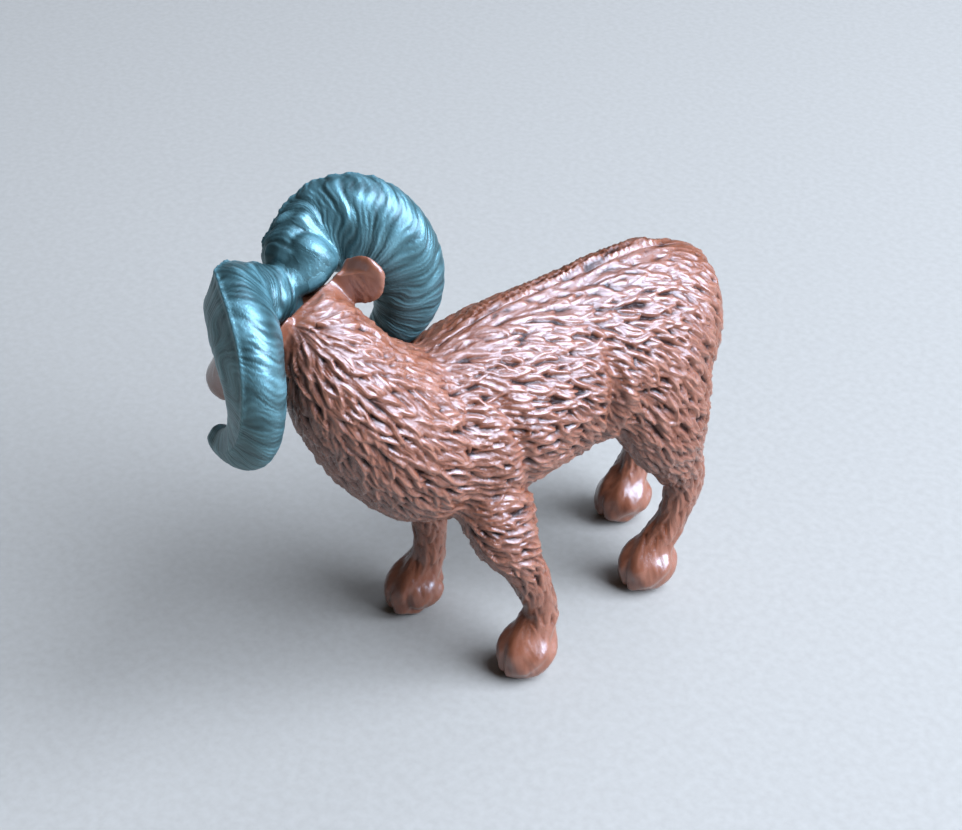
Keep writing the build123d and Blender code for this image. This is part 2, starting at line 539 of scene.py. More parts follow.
@dataclass(frozen=True)
class CopperPlastic:
    """Copper-brown polypropylene, injection moulded in a spark-eroded mould.

    The moulding gives a satin skin: broad soft highlights and warm see-through edges.
    Its colour is painted darker in the hollows between locks as painted shade, and lighter on their crests as painted
    highlight.
    """

    # Ramp colours: crest is a painted highlight on the lock crests, mid is the plastic's own colour, and the darkest
    # is painted shade in the hollows between locks.
    crest: str = "84503A"
    mid: str = "68341D"
    painted_hollow_shade: str = "220B05"
    roughness: float = 0.32
    strand_mm: float = 0.28
    grit_mm: float = 0.09
    paint: EyePaint = EyePaint()

    def build(self) -> bpy.types.Material:
        """Makes the material.

        Returns:
            The material.
        """
        material = bpy.data.materials.new("copper_brown_moulded_plastic")
        material.use_nodes = True
        tree = material.node_tree
        tree.nodes.clear()
        place = node(tree, "TexCoord").outputs["Object"]
        relief = node(tree, "Attribute", {"attribute_name": "relief"}).outputs["Fac"]
        cloud = node(tree, "TexNoise", Vector=place, Scale=1 / (6 * MM), Detail=3.0, Roughness=0.55).outputs["Fac"]
        mottle = node(tree, "Math", {"operation": "MULTIPLY_ADD"}, i0=cloud, i1=0.3, i2=-0.15).outputs[0]
        shade = node(tree, "Math", {"operation": "ADD", "use_clamp": True}, i0=relief, i1=mottle).outputs[0]
        # Painted light: low relief in the hollows between locks takes the darkest colour as painted shade, and high
        # relief on the lock crests takes the crest colour as painted highlight; the cloud mottle is the plastic's own
        # random tone.
        colour = ramp(tree, shade, [(0.0, self.painted_hollow_shade), (0.16, self.painted_hollow_shade), (0.50, self.mid), (1.0, self.crest)])
        across = node(tree, "Attribute", {"attribute_name": "strand"}).outputs["Fac"]
        grit = node(tree, "TexNoise", Vector=place, Scale=1 / (self.grit_mm * MM), Detail=2.0).outputs["Fac"]
        coarse = node(tree, "TexNoise", Vector=place, Scale=1 / (0.45 * MM), Detail=2.0).outputs["Fac"]
        wave = node(tree, "Math", {"operation": "MULTIPLY"}, i0=across, i1=2 * math.pi / self.strand_mm).outputs[0]
        warped = node(tree, "Math", {"operation": "MULTIPLY_ADD"}, i0=coarse, i1=5.0, i2=wave).outputs[0]
        strands = node(tree, "Math", {"operation": "SINE"}, i0=warped).outputs[0]
        fuzz = node(tree, "Attribute", {"attribute_name": "fleece"}).outputs["Fac"]
        strand_height = node(tree, "Math", {"operation": "MULTIPLY"}, i0=strands, i1=fuzz).outputs[0]
        bump = node(tree, "Bump", Height=strand_height, Strength=0.35, Distance=0.05 * MM)
        fine = node(tree, "Bump", Height=grit, Strength=0.25, Distance=0.02 * MM, Normal=bump.outputs[0])
        gloss = node(tree, "MapRange", Value=cloud, i1=0.3, i2=0.7, i3=self.roughness - 0.05, i4=self.roughness + 0.07)
        # Specular level and coat weight also rise with relief, so the hollows reflect less and the crests more:
        # painted shade and painted highlight on the reflections.
        level = node(tree, "MapRange", Value=relief, i1=0.10, i2=0.55, i3=0.12, i4=0.5).outputs[0]
        film = node(tree, "MapRange", Value=relief, i1=0.10, i2=0.60, i3=0.05, i4=0.75).outputs[0]
        shader = node(
            tree,
            "BsdfPrincipled",
            Base_Color=colour,
            Roughness=gloss.outputs[0],
            Normal=fine.outputs[0],
            IOR=1.5,
            Specular_IOR_Level=level,
            Coat_Weight=film,
            Coat_Roughness=0.30,
            Subsurface_Weight=0.04,
            Subsurface_Radius=(1.0, 0.35, 0.2),
            Subsurface_Scale=0.6 * MM,
        )
        eye = node(tree, "Attribute", {"attribute_name": "eye"}).outputs["Fac"]
        printed = node(tree, "MapRange", Value=eye, i1=0.46, i2=0.52, i3=0.0, i4=1.0).outputs[0]
        surface = node(tree, "MixShader", i0=printed, i1=shader.outputs[0], i2=self.paint.shader(tree, place))
        node(tree, "OutputMaterial", Surface=surface.outputs[0])
        return material


@dataclass(frozen=True)
class SlatePlastic:
    """Grey-green polypropylene with fine mica in it, injection moulded and polished by handling.

    The colour is painted lighter on each growth-ring crest as a painted highlight and darker in the grooves as painted
    shade, and the mica tints the waxy sheen towards blue-green.
    """

    # Ramp colours: crest is a painted highlight on the ring crests and the edge line, mid is the plastic's own colour,
    # and the darkest is painted shade in the ring grooves.
    crest: str = "6A8282"
    mid: str = "4E6261"
    painted_groove_shade: str = "303D3B"
    sheen: str = "B0E2EC"
    mica: float = 0.40
    roughness: float = 0.40
    wrinkle_mm: float = 0.32

    def build(self) -> bpy.types.Material:
        """Makes the material.

        Returns:
            The material.
        """
        material = bpy.data.materials.new("grey_green_moulded_plastic")
        material.use_nodes = True
        tree = material.node_tree
        tree.nodes.clear()
        place = node(tree, "TexCoord").outputs["Object"]
        relief = node(tree, "Attribute", {"attribute_name": "relief"}).outputs["Fac"]
        cloud = node(tree, "TexNoise", Vector=place, Scale=1 / (4 * MM), Detail=4.0, Roughness=0.6).outputs["Fac"]
        mottle = node(tree, "Math", {"operation": "MULTIPLY_ADD"}, i0=cloud, i1=0.5, i2=-0.25).outputs[0]
        shade = node(tree, "Math", {"operation": "ADD", "use_clamp": True}, i0=relief, i1=mottle).outputs[0]
        # Painted light: the ring grooves take the darkest colour as painted shade and the ring crests the crest colour
        # as painted highlight; the cloud mottle is the plastic's own random tone.
        colour = ramp(tree, shade, [(0.0, self.painted_groove_shade), (0.5, self.mid), (1.0, self.crest)])
        along = node(tree, "Attribute", {"attribute_name": "strand"}).outputs["Fac"]
        coarse = node(tree, "TexNoise", Vector=place, Scale=1 / (0.9 * MM), Detail=3.0).outputs["Fac"]
        wave = node(tree, "Math", {"operation": "MULTIPLY"}, i0=along, i1=2 * math.pi / self.wrinkle_mm).outputs[0]
        warped = node(tree, "Math", {"operation": "MULTIPLY_ADD"}, i0=coarse, i1=9.0, i2=wave).outputs[0]
        wrinkles = node(tree, "Math", {"operation": "SINE"}, i0=warped).outputs[0]
        grit = node(tree, "TexNoise", Vector=place, Scale=1 / (0.12 * MM), Detail=2.0).outputs["Fac"]
        bump = node(tree, "Bump", Height=wrinkles, Strength=0.3, Distance=0.05 * MM)
        fine = node(tree, "Bump", Height=grit, Strength=0.25, Distance=0.02 * MM, Normal=bump.outputs[0])
        gloss = node(tree, "MapRange", Value=cloud, i1=0.3, i2=0.7, i3=self.roughness - 0.06, i4=self.roughness + 0.08)
        shader = node(
            tree,
            "BsdfPrincipled",
            Base_Color=colour,
            Roughness=gloss.outputs[0],
            Normal=fine.outputs[0],
            IOR=1.5,
            Metallic=self.mica,
            Specular_Tint=linear(self.sheen),
            Coat_Weight=0.5,
            Coat_Tint=linear(self.sheen),
            Coat_Roughness=0.30,
        )
        node(tree, "OutputMaterial", Surface=shader.outputs[0])
        return material


@dataclass(frozen=True)
class PaleFloor:
    """Matt pale card, which takes soft shadows and a trace of the figure's colour."""

    colour: str = "8F8478"
    grain: str = "897E72"

    def build(self) -> bpy.types.Material:
        """Makes the material.

        Returns:
            The material.
        """
        material = bpy.data.materials.new("pale_matt_card")
        material.use_nodes = True
        tree = material.node_tree
        tree.nodes.clear()
        place = node(tree, "TexCoord").outputs["Object"]
        tooth = node(tree, "TexNoise", Vector=place, Scale=1 / (0.8 * MM), Detail=3.0).outputs["Fac"]
        colour = ramp(tree, tooth, [(0.3, self.grain), (0.7, self.colour)])
        bump = node(tree, "Bump", Height=tooth, Strength=0.05, Distance=0.05 * MM)
        shader = node(tree, "BsdfPrincipled", Base_Color=colour, Roughness=0.85, Normal=bump.outputs[0])
        node(tree, "OutputMaterial", Surface=shader.outputs[0])
        return material


# ---------------------------------------------------------------- fleece


@dataclass
class Fleece:
    """Sculpted locks: leaf-shaped tufts laid over each other like shingles along the lie of the coat.

    Attributes:
        spacing: Rough distance between the roots of locks, in millimetres.
        length: A lock's length.
        half_width: Half a lock's width at its middle.
        height: How far a lock's tip stands out.
        near: How many of the nearest locks each point looks at.
    """

    spacing: float = 0.74
    length: float = 2.7
    half_width: float = 0.34
    height: float = 0.66
    near: int = 18

    # The lie of the coat on either flank: back and up of a place, back and up of the direction, reach
    LIE = (
        (-22.0, 37.0, 0.58, -0.82, 4.0),
        (-18.0, 31.0, 0.62, -0.78, 4.5),
        (-20.0, 25.0, 0.45, -0.89, 4.0),
        (-14.0, 27.0, 0.88, -0.47, 4.0),
        (-11.0, 23.0, 0.97, -0.24, 4.0),
        (-9.5, 16.0, 0.95, -0.30, 4.0),
        (-5.0, 30.0, 0.93, -0.38, 3.5),
        (0.0, 24.0, 0.68, -0.73, 5.0),
        (0.0, 17.0, 0.80, -0.60, 4.0),
        (6.0, 30.0, 0.90, -0.45, 3.5),
        (10.0, 24.0, 0.56, -0.83, 5.0),
        (15.0, 26.0, 0.35, -0.94, 4.0),
        (9.0, 15.0, 0.60, -0.80, 4.0),
        (8.0, 8.0, 0.10, -1.00, 5.0),
        (-8.0, 8.0, 0.15, -1.00, 5.0),
    )

    def lie(self, points: np.ndarray, normals: np.ndarray) -> np.ndarray:
        """The direction in which the coat lies.

        Args:
            points: Where to read it.
            normals: The surface's normals there.

        Returns:
            Unit directions along the surface.
        """
        total = np.zeros_like(points)
        for back, up, go_back, go_up, reach in self.LIE:
            weight = np.exp(-((points[:, 1] - back) ** 2 + (points[:, 2] - up) ** 2) / reach**2) + 1e-6
            total[:, 1] += weight * go_back
            total[:, 2] += weight * go_up
        total[:, 0] += 0.02 * np.sign(points[:, 0])
        on_spine = np.exp(-((points[:, 0] / 1.6) ** 2)) * step(normals[:, 2], 0.5, 0.9)
        total /= np.linalg.norm(total, axis=1, keepdims=True)
        total = total * (1 - on_spine[:, None]) + np.outer(on_spine, [0, 1, 0])
        total -= normals * (total * normals).sum(1)[:, None]
        return total / np.maximum(np.linalg.norm(total, axis=1, keepdims=True), 1e-9)

    def amount(self, points: np.ndarray, normals: np.ndarray, head: HeadPose) -> np.ndarray:
        """How deep the coat is, from 0 on hooves, ears and muzzle to 1 on the flanks.

        Args:
            points: Where to read it.
            normals: The surface's normals there.
            head: The head's pose.

        Returns:
            The share of the full height.
        """
        legs = 0.10 + 0.30 * step(points[:, 2], 4.6, 6.0) + 0.60 * step(points[:, 2], 8.5, 13.0)
        level = head.local(points, skull=False)
        on_head = step(-level[:, 1], 2.6, 4.0) * step(points[:, 2], 26, 30)
        on_head = np.maximum(on_head, step(-points[:, 0], 6.5, 8.5) * step(points[:, 2], 21, 23))
        face = 1 - 0.93 * on_head
        bare = np.maximum(step(-level[:, 0], 0.0, 2.4) * step(-level[:, 1], -2.0, 0.4), step(-level[:, 1], 0.3, 1.3))
        nape = 1 - 0.95 * bare * step(level[:, 2], -3.0, -0.6) * step(points[:, 2], 33, 36)
        ear = 1 - 0.95 * step(-level[:, 0], 3.0, 3.8) * step(level[:, 2], -4.5, -3.0) * step(points[:, 2], 33, 36)
        back = 1 - 0.45 * step(normals[:, 2], 0.60, 0.97) * step(points[:, 2], 28, 33)
        rump = 1 - 0.35 * step(points[:, 1], 11, 16) * step(points[:, 2], 16, 22)
        return legs * face * nape * ear * back * rump

    def grow(self, skin: Skin, head: HeadPose) -> dict[str, np.ndarray]:
        """Raises the locks out of a skin.

        Args:
            skin: The body's skin, which is changed.
            head: The head's pose.

        Returns:
            Marks for the material: relief, strand and fleece.
        """
        chance = np.random.default_rng(SEED)
        normals = skin.normals()
        lie = self.lie(skin.points, normals)
        amount = self.amount(skin.points, normals, head)
        cells = np.floor(skin.points / self.spacing).astype(np.int64)
        key = cells[:, 0] * 1000003 + cells[:, 1] * 1009 + cells[:, 2]
        order = chance.permutation(len(key))
        _, first = np.unique(key[order], return_index=True)
        seeds = order[first]
        tree = kdtree.KDTree(len(seeds))
        for i, v in enumerate(seeds):
            tree.insert(skin.points[v], i)
        tree.balance()
        LOG.info("fleece: %d locks on %d points", len(seeds), len(skin.points))
        near = np.zeros((len(skin.points), self.near), np.int64)
        for i, p in enumerate(skin.points):
            near[i] = [hit[1] for hit in tree.find_n(p, self.near)]
        size = chance.uniform(0.7, 1.3, len(seeds))
        slim = chance.uniform(0.7, 1.35, len(seeds))
        bend = chance.normal(0, 0.12, len(seeds))
        turn = chance.normal(0, 0.20, len(seeds))
        rise = chance.uniform(0.55, 1.2, len(seeds))
        flow = lie[seeds]
        side = np.cross(normals[seeds], flow)
        turned = flow * np.cos(turn)[:, None] + side * np.sin(turn)[:, None]
        across = np.cross(normals[seeds], turned)
        away = skin.points[:, None] - skin.points[seeds][near]
        along = (away * turned[near]).sum(2)
        sideways = (away * across[near]).sum(2) + bend[near] * along**2
        facing = (normals[:, None] * normals[seeds][near]).sum(2) > 0.2
        length = self.length * size[near]
        reach = along / length + 0.4
        inside = (reach > 0) & (reach < 1) & facing
        reach = np.clip(reach, 0, 1)
        width = self.half_width * slim[near] * 1.9 * reach**0.5 * (1 - reach) ** 0.55 + 1e-4
        profile = np.clip(1 - np.abs(sideways / width) ** 1.6, 0, 1)
        tip = (0.25 + 0.75 * reach) * (1 - reach**6)
        heights = np.where(inside, profile * tip * rise[near], 0)
        best = heights.argmax(1)
        rows = np.arange(len(best))
        height = heights[rows, best]
        strand = sideways[rows, best] + 0.37 * near[rows, best]
        skin.points = skin.points + normals * ((height - 0.45) * self.height * amount)[:, None]
        # relief is each point's lock height, blended towards a fixed 0.72 where the coat is thin; the body material
        # paints low relief as shade in the hollows and high relief as highlight on the crests.
        relief = np.clip(0.05 + 1.25 * height, 0, 1) * np.sqrt(amount) + (1 - np.sqrt(amount)) * 0.72
        return {"relief": relief, "strand": strand, "fleece": amount}


# ---------------------------------------------------------------- body


@dataclass
class Body:
    """The two halves of the body, parted on the plane of the spine.

    Attributes:
        head: The head's pose.
        fleece: The coat.
        blend_voxel: Grid size for the first, coarse fusing, in millimetres.
        voxel: Grid size of the final surface.
        seam: Half the gap between the halves.
    """

    head: HeadPose
    fleece: Fleece = field(default_factory=Fleece)
    blend_voxel: float = 0.3
    voxel: float = 0.167
    seam: float = 0.02

    TRUNK = (
        (-18.0, 22.4, 2.4, 3.2, 0.0),
        (-15.6, 23.1, 5.2, 6.3, 0.05),
        (-12.0, 24.3, 6.9, 8.1, 0.12),
        (-8.0, 25.3, 7.3, 8.2, 0.20),
        (-4.0, 25.7, 7.3, 8.0, 0.25),
        (1.0, 25.7, 7.0, 7.9, 0.26),
        (6.0, 25.6, 6.9, 8.0, 0.24),
        (11.0, 25.0, 6.4, 8.0, 0.16),
        (14.1, 24.2, 4.8, 6.6, 0.05),
        (15.6, 24.0, 2.4, 3.7, 0.0),
    )
    NECK = (
        (0.0, -11.0, 22.9, 5.4, 6.2),
        (0.0, -13.8, 24.6, 6.4, 7.0),
        (0.0, -17.2, 27.6, 6.0, 6.4),
        (-0.2, -20.3, 31.6, 5.0, 5.2),
        (-1.0, -21.7, 34.8, 4.2, 4.3),
        (-2.2, -22.3, 36.7, 3.5, 3.6),
        (-4.0, -22.9, 37.3, 3.0, 3.1),
    )
    LEFT_FORE = (
        (5.9, -7.9, 0.9, 2.0, 2.4),
        (5.9, -7.8, 2.4, 2.4, 2.7),
        (6.0, -6.8, 4.6, 1.7, 1.9),
        (6.1, -6.4, 6.6, 1.35, 1.5),
        (6.1, -7.3, 9.6, 1.45, 1.65),
        (5.9, -8.6, 12.8, 1.8, 2.0),
        (5.3, -9.9, 16.2, 2.4, 3.0),
        (4.2, -10.5, 20.5, 2.4, 3.4),
    )
    RIGHT_FORE = (
        (-6.8, -10.7, 0.9, 2.0, 2.4),
        (-6.8, -10.6, 2.4, 2.4, 2.7),
        (-6.5, -9.6, 4.6, 1.7, 1.9),
        (-6.2, -9.1, 6.6, 1.35, 1.5),
        (-5.9, -9.2, 9.6, 1.45, 1.65),
        (-5.6, -9.8, 12.8, 1.8, 2.0),
        (-5.2, -10.6, 16.2, 2.4, 3.0),
        (-4.2, -10.8, 20.5, 2.4, 3.4),
    )
    LEFT_HIND = (
        (3.8, 8.0, 0.9, 2.0, 2.4),
        (3.8, 8.1, 2.4, 2.4, 2.7),
        (4.0, 9.2, 4.6, 1.6, 1.8),
        (4.3, 10.4, 6.8, 1.4, 1.5),
        (4.4, 11.4, 9.6, 1.55, 1.75),
        (4.4, 11.4, 11.6, 1.75, 2.0),
        (4.5, 10.0, 14.2, 2.3, 2.7),
        (4.6, 8.5, 18.2, 3.2, 4.2),
        (4.3, 7.6, 22.6, 3.3, 5.4),
        (3.9, 7.4, 26.0, 3.1, 5.2),
    )
    RIGHT_HIND = (
        (-5.1, 12.9, 0.9, 2.0, 2.4),
        (-5.1, 13.0, 2.4, 2.4, 2.7),
        (-5.1, 13.9, 4.6, 1.6, 1.8),
        (-5.0, 14.6, 6.8, 1.4, 1.5),
        (-4.9, 14.8, 9.6, 1.55, 1.75),
        (-4.8, 14.2, 11.6, 1.75, 2.0),
        (-4.7, 12.2, 14.2, 2.3, 2.7),
        (-4.6, 9.6, 18.2, 3.2, 4.2),
        (-4.3, 7.8, 22.6, 3.3, 5.4),
        (-3.9, 7.4, 26.0, 3.1, 5.2),
    )
    HEAD = (
        (-2.6, 0.3, 2.2, 2.0),
        (-1.2, 0.1, 3.1, 2.9),
        (1.0, 0.0, 3.5, 3.4),
        (4.3, 0.1, 3.2, 3.2),
        (7.4, 0.4, 2.55, 2.65),
        (10.4, 0.5, 2.1, 2.2),
        (12.6, 0.6, 1.85, 1.95),
    )

    def rings(self, table: tuple) -> list[Ring]:
        """Rings from rows of x, y, z, half width and half depth."""
        return [Ring(row[:3], *row[3:]) for row in table]

    def skull_shells(self) -> list[Shell]:
        """The skull with its muzzle, brows, cheeks and jaw, in the design frame.

        Returns:
            The shells.
        """
        place = self.head.skull()
        shells = [limb([Ring((0, -ahead, -drop), a, b) for ahead, drop, a, b in self.HEAD])]
        for side in Side:
            shells.append(egg((side.value * 2.4, -4.0, 1.5), (1.2, 1.8, 0.9)))
            shells.append(egg((side.value * 1.9, -4.4, -1.8), (1.4, 2.8, 1.5)))
            shells.append(egg((side.value * 2.65, -4.6, 0.55), (0.75, 0.95, 0.8)))
        jaw = [Ring((0, -1.5, -2.6), 1.8, 1.2), Ring((0, -7.0, -2.8), 1.5, 1.0), Ring((0, -12.2, -2.4), 1.2, 0.8)]
        shells.append(limb(jaw))
        poll = limb([Ring((x, -2.6, -1.6), 2.3, 2.8) for x in (-2.5, 0.0, 2.5)], across=(0, 1, 0), blunt=0.45)
        return [shell.moved(place) for shell in shells] + [poll.moved(self.head.level())]

    def ear(self, side: Side) -> Shell:
        """One leaf-shaped ear.

        Args:
            side: Which ear.

        Returns:
            The shell, in the design frame.
        """
        s = side.value
        if side is Side.RIGHT:
            root, tip, across = Vector((s * 3.1, -2.0, 0.0)), Vector((s * 4.4, 1.9, 1.3)), (0, -0.3, 0.95)
        else:
            root, tip, across = Vector((s * 2.7, -1.8, 0.2)), Vector((s * 6.2, -2.6, -1.4)), (0, 0, 1)
        shape = (
            (0.0, 1.7, 0.9),
            (0.25, 2.2, 0.75),
            (0.5, 2.4, 0.6),
            (0.7, 2.25, 0.5),
            (0.85, 1.8, 0.42),
            (0.95, 1.2, 0.35),
            (1.0, 0.7, 0.3),
        )
        rings = [Ring(tuple(root.lerp(tip, share)), a, b) for share, a, b in shape]
        return limb(rings, across=across).moved(self.head.level())

    def carve_face(self, skin: Skin) -> np.ndarray:
        """Sets in the eyes, nostrils and mouth.

        Args:
            skin: The body's skin, which is changed.

        Returns:
            How much of each point is eye, from 0 to 1.
        """
        local = self.head.local(skin.points)
        normals = skin.normals()
        move = np.zeros(len(local))
        eyes = np.zeros(len(local))
        for side in Side:
            s = side.value
            move -= 0.35 * hump(local, (s * 3.1, -5.6, 0.5), (0.8, 0.45, 0.8))
            move -= 0.35 * hump(local, (s * 1.0, -14.2, -0.2), (0.4, 0.6, 0.4))
            eyes = np.maximum(eyes, hump(local, (s * 3.4, -4.6, 0.55), (0.7, 0.62, 0.5)))
        lips = np.exp(-(((local[:, 2] + 1.95) / 0.16) ** 2)) * step(-local[:, 1], 10.6, 11.6)
        move -= 0.22 * lips
        skin.points = skin.points + normals * move[:, None]
        return eyes

    def cleave_hooves(self, skin: Skin) -> None:
        """Cuts the cleft in the front of each hoof and flattens the soles.

        Args:
            skin: The body's skin, which is changed.
        """
        p = skin.points
        normals = skin.normals()
        move = np.zeros(len(p))
        for route in (self.LEFT_FORE, self.RIGHT_FORE, self.LEFT_HIND, self.RIGHT_HIND):
            x, y = route[1][:2]
            near = np.exp(-(((p[:, 0] - x) / 0.22) ** 2)) * step(-(p[:, 1] - y), 0.4, 1.6)
            move -= 0.30 * near * step(-p[:, 2], -4.2, -2.6)
        uneven = np.sin(3.1 * p[:, 0] + 1.7 * p[:, 2]) + np.sin(2.7 * p[:, 1] - 2.9 * p[:, 2] + 1.0)
        move += 0.07 * uneven * step(-p[:, 2], -7.5, -5.0)
        skin.points = p + normals * move[:, None]
        skin.points[:, 2] = np.maximum(skin.points[:, 2], 0.0)

    # Folds between the masses: two ends of each line, its half width and depth
    FOLDS = (
        ((7.3, 0.9, 29.0), (5.8, 0.6, 20.0), 0.75, 1.15),
        ((7.2, -10.8, 30.5), (5.6, -7.6, 20.0), 0.70, 0.70),
    )

    def crease(self, skin: Skin) -> None:
        """Presses in the folds before thigh and behind shoulder, on both flanks.

        Args:
            skin: The body's skin, which is changed.
        """
        flank = skin.points * np.array([1, 1, 1]) * np.where(skin.points[:, :1] < 0, [-1, 1, 1], [1, 1, 1])
        normals = skin.normals()
        move = np.zeros(len(flank))
        for start, end, width, depth in self.FOLDS:
            a, b = np.array(start), np.array(end)
            share = np.clip(((flank - a) @ (b - a)) / ((b - a) @ (b - a)), 0, 1)
            away = (flank - a - share[:, None] * (b - a))[:, 1:]
            gap = np.linalg.norm(away, axis=1)
            outer = step(flank[:, 0], 3.0, 4.5)
            fade = 0.35 + 0.65 * np.sin(np.pi * np.clip(share, 0.1, 0.9))
            move -= depth * np.exp(-((gap / width) ** 2)) * fade * outer
        skin.points = skin.points + normals * move[:, None]

    def ridge_back(self, skin: Skin) -> None:
        """Raises the far half along the spine, with short cross grooves, and a smooth crest on the near one.

        Args:
            skin: The body's skin, which is changed.
        """
        p = skin.points
        up = step(p[:, 2], 27, 31)
        along = step(p[:, 1], -11, -6) * step(-p[:, 1], -13, -9)
        far = step(-p[:, 0], -0.05, 0.25) * np.exp(-(((p[:, 0] + 1.0) / 1.5) ** 2))
        uneven = 0.5 + 0.5 * np.sin(p[:, 1] * 0.83 + 0.6) * np.sin(p[:, 1] * 2.1 + p[:, 0] * 1.3)
        grooves = 0.15 * uneven * np.sin(p[:, 1] * 2 * np.pi / 0.66 + 1.6 * np.sin(p[:, 1] * 1.7) + p[:, 0] * 1.1)
        crest = np.exp(-(((p[:, 0] - 0.35) / 0.28) ** 2))
        dip = np.exp(-(((p[:, 0] - 1.0) / 0.35) ** 2))
        band = 0.36 + 0.40 * step(p[:, 1], -3.0, 4.0) * step(-p[:, 1], -13.0, -10.0)
        p[:, 2] += up * along * (far * (band + grooves) + 0.20 * crest - 0.10 * dip)

    def edge_poll(self, skin: Skin) -> None:
        """Ends the nape in a crisp rim behind the horns, and lets the crown fall away in front of it.

        Args:
            skin: The body's skin, which is changed.
        """
        level = self.head.local(skin.points, skull=False)
        ahead, height = -level[:, 1], level[:, 2]
        rim = 1.45 - 0.02 * level[:, 0] ** 2
        roof = np.where(ahead < rim, 0.95 + 0.25 * (rim - ahead), 0.95 - 2.2 * (ahead - rim))
        roof = roof - 0.28 * np.exp(-((level[:, 0] / 1.8) ** 2)) + 0.20 * np.exp(-(((ahead - rim + 0.20) / 0.17) ** 2))
        zone = step(-np.abs(level[:, 0]), -4.8, -3.2) * step(ahead, -2.2, -0.6) * step(-ahead, -5.2, -3.4)
        over = np.maximum(height - np.maximum(roof, -1.2), 0) * zone
        up = np.array(self.head.level().to_3x3())[:, 2]
        skin.points = skin.points - over[:, None] * up

    def sculpt(self) -> tuple[Skin, dict[str, np.ndarray]]:
        """Builds the whole body before it is parted.

        Returns:
            The skin and its marks.
        """
        trunk = limb([Ring((0, y, z), a, b, roof) for y, z, a, b, roof in self.TRUNK])
        shells = [trunk, limb(self.rings(self.NECK))]
        for route in (self.LEFT_FORE, self.RIGHT_FORE, self.LEFT_HIND, self.RIGHT_HIND):
            shells.append(limb(self.rings(route), blunt=0.45))
        for x, y in ((5.9, -7.8), (-6.8, -10.6), (3.8, 8.1), (-5.1, 13.0)):
            shells.append(egg((x + 0.45, y + 0.2, 2.5), (2.2, 2.5, 2.0)))
        for x, y in ((6.05, -5.1), (-6.4, -7.9), (4.1, 10.6), (-5.1, 15.3)):
            shells.append(egg((x, y, 5.0), (0.7, 0.75, 0.8)))
        coarse = Skin.around([*shells, *self.skull_shells()], self.blend_voxel)
        low = step(-coarse.points[:, 2], -12.0, -8.0)
        face = step(-self.head.local(coarse.points)[:, 1], 0.0, 3.0) * step(coarse.points[:, 2], 24, 27)
        coarse.smoothed(14, 1 - 0.8 * np.maximum(low, face))
        LOG.info("body blended: %d points", len(coarse.points))
        skin = Skin.around([coarse.shell(), self.ear(Side.LEFT), self.ear(Side.RIGHT), self.tail()], self.voxel)
        skin.smoothed(2)
        self.crease(skin)
        eyes = self.carve_face(skin)
        self.cleave_hooves(skin)
        self.edge_poll(skin)
        marks = self.fleece.grow(skin, self.head)
        self.ridge_back(skin)
        marks["eye"] = eyes
        skin.points[:, 2] = np.maximum(skin.points[:, 2], 0.0)
        return skin, marks

    def tail(self) -> Shell:
        """The short tail on the rump."""
        rings = [Ring((0, 15.4, 29.0), 1.2, 0.9), Ring((0, 16.3, 26.4), 1.2, 0.9), Ring((0, 16.4, 24.0), 0.8, 0.6)]
        return limb(rings)

    def half(self, name: str, side: Side, skin: Skin, marks: dict[str, np.ndarray], stand: Stand) -> bpy.types.Object:
        """Cuts one half out of the skin and closes it on the spine plane.

        Args:
            name: The piece's name, made from its CAD node's.
            side: Which half.
            skin: The whole body.
            marks: Its marks.
            stand: Where the design frame lies.

        Returns:
            The half.
        """
        whole = stand.piece(name, skin.points, skin.quads, marks)
        bm = bmesh.new()
        bm.from_mesh(whole.data)
        plane = stand.offset() + np.array([side.value * self.seam * MM, 0, 0])
        cut = bmesh.ops.bisect_plane(
            bm,
            geom=bm.verts[:] + bm.edges[:] + bm.faces[:],
            dist=1e-7,
            plane_co=plane,
            plane_no=(-side.value, 0, 0),
            clear_outer=True,
        )
        edges = [e for e in cut["geom_cut"] if isinstance(e, bmesh.types.BMEdge) and e.is_valid]
        bmesh.ops.holes_fill(bm, edges=edges, sides=0)
        bm.to_mesh(whole.data)
        bm.free()
        return whole

    def build(self, stand: Stand, plastic: bpy.types.Material) -> list[bpy.types.Object]:
        """Makes both halves and gives them their material.

        Args:
            stand: Where the design frame lies.
            plastic: The body's plastic, with the printed eyes on it.

        Returns:
            The two halves.
        """
        skin, marks = self.sculpt()
        pieces = []
        for name, side in (("body_left_half", Side.LEFT), ("body_right_half", Side.RIGHT)):
            made = self.half(name + "_fleeced", side, skin, marks, stand)
            made.data.materials.append(plastic)
            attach(made, "root")
            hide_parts(name)
            LOG.info("%s: %d faces", made.name, len(made.data.polygons))
            pieces.append(made)
        return pieces


# ---------------------------------------------------------------- horns


@dataclass(frozen=True)
class HornPlace:
    """How one horn's spiral stands on the head.

    Attributes:
        side: Which horn.
        spread: How far it turns outward, in degrees.
        lean: How far its axis tips, in degrees.
        out: The spiral's middle from the head's middle, outward, in millimetres.
        forward: The same, forward.
        drop: The same, down.
        first: Where the spiral starts, in degrees.
        last: Where it ends, in degrees.
        ringed: How deep its rings are, as a share of the full depth.
    """

    side: Side
    spread: float
    lean: float
    out: float
    forward: float
    drop: float
    first: float
    last: float
    ringed: float

    def spiral(self) -> Matrix:
        """The spiral's frame in the head's level frame, always as for the right horn.

        Returns:
            The frame, from the spiral's to the head's.
        """
        s, q = math.radians(self.spread), math.radians(self.lean)
        ahead = Vector((math.sin(s), -math.cos(s), 0))
        axis = Vector((-math.cos(s) * math.cos(q), -math.sin(s) * math.cos(q), math.sin(q)))
        turn = Matrix((ahead, axis.cross(ahead).normalized(), axis)).transposed().to_4x4()
        return Matrix.Translation((-self.out, -self.forward, -self.drop)) @ turn


